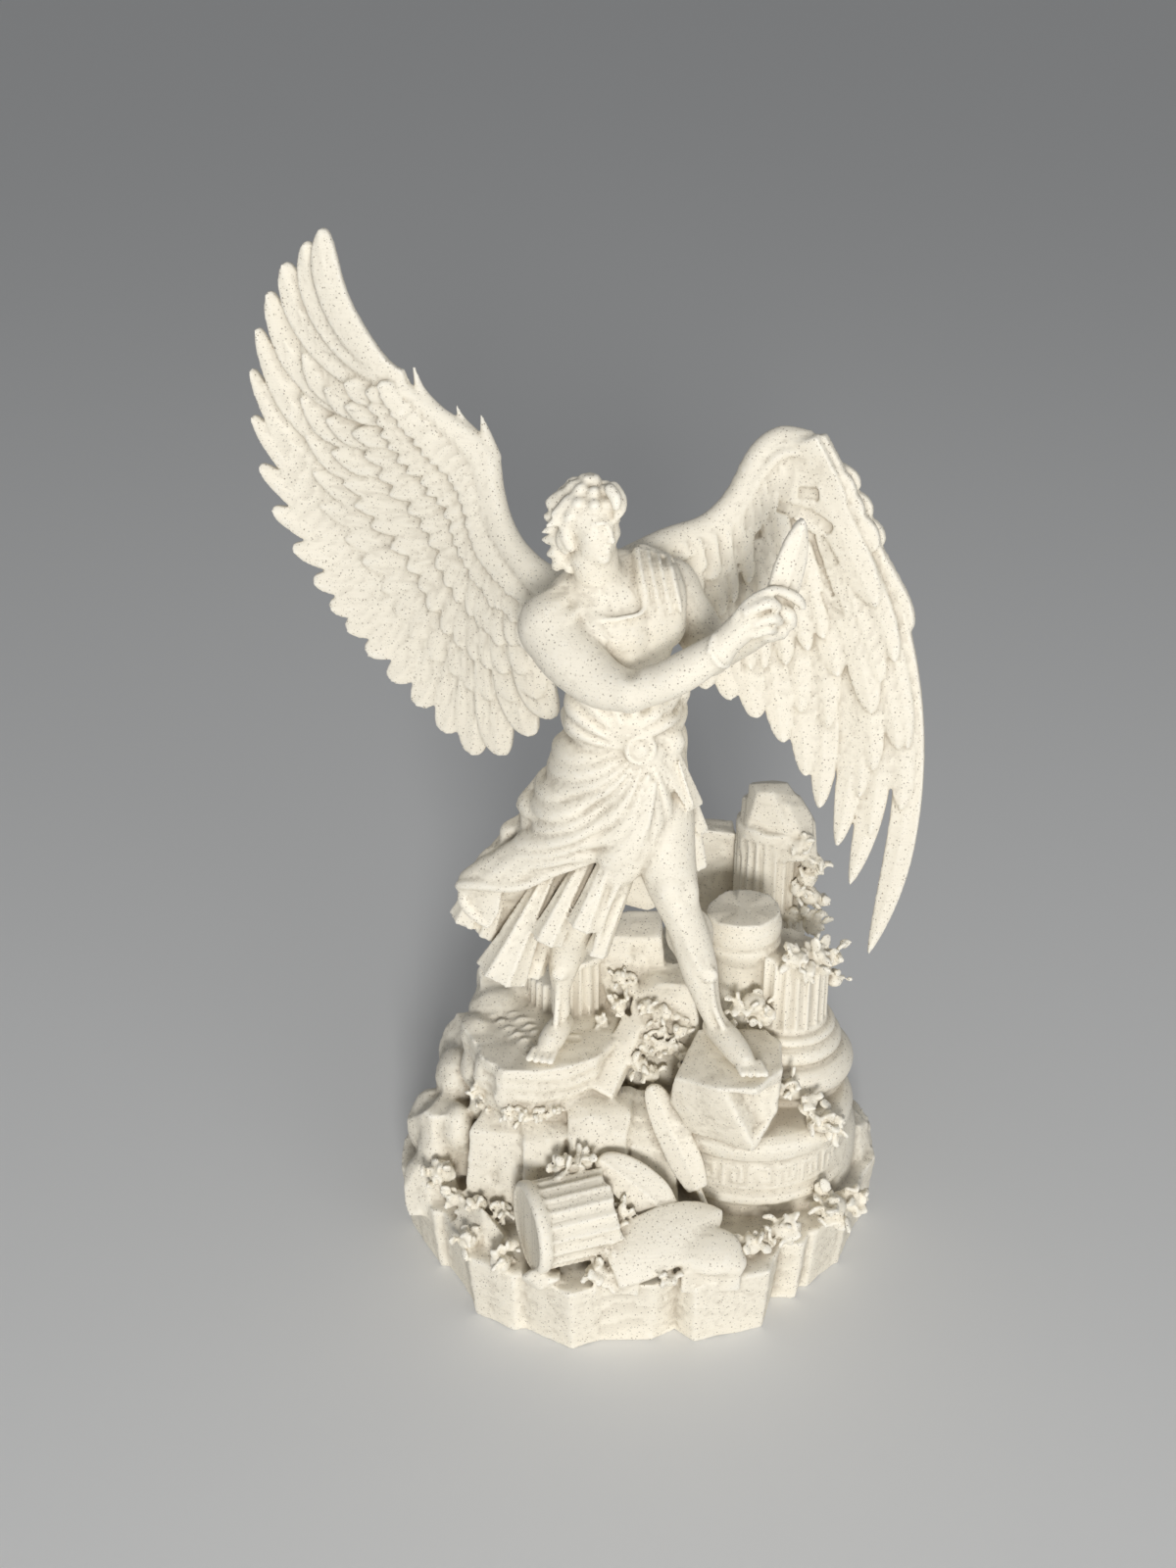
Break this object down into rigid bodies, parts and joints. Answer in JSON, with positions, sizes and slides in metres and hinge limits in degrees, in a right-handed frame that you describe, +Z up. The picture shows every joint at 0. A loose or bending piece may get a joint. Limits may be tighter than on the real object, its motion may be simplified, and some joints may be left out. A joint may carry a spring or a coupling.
{
  "type": "icarus statue",
  "caption": "Winged classical figure holding a feather, standing on a rocky plinth with broken fluted columns.",
  "frame": {"origin": "middle of the plinth's flat underside", "axes": "+Z up along the figure, +X to the viewer's right, +Y away from the viewer, behind the figure"},
  "size_m": [0.0876, 0.0601, 0.1356],
  "materials": {
    "figure_print": "off-white speckled marble-look print, matte, faint layer lines",
    "plinth_print": "off-white speckled marble-look print, matte, faint layer lines"
  },
  "bodies": {
    "root": {"icarus_figure": "figure_print", "plinth": "plinth_print"}
  },
  "joints": []
}
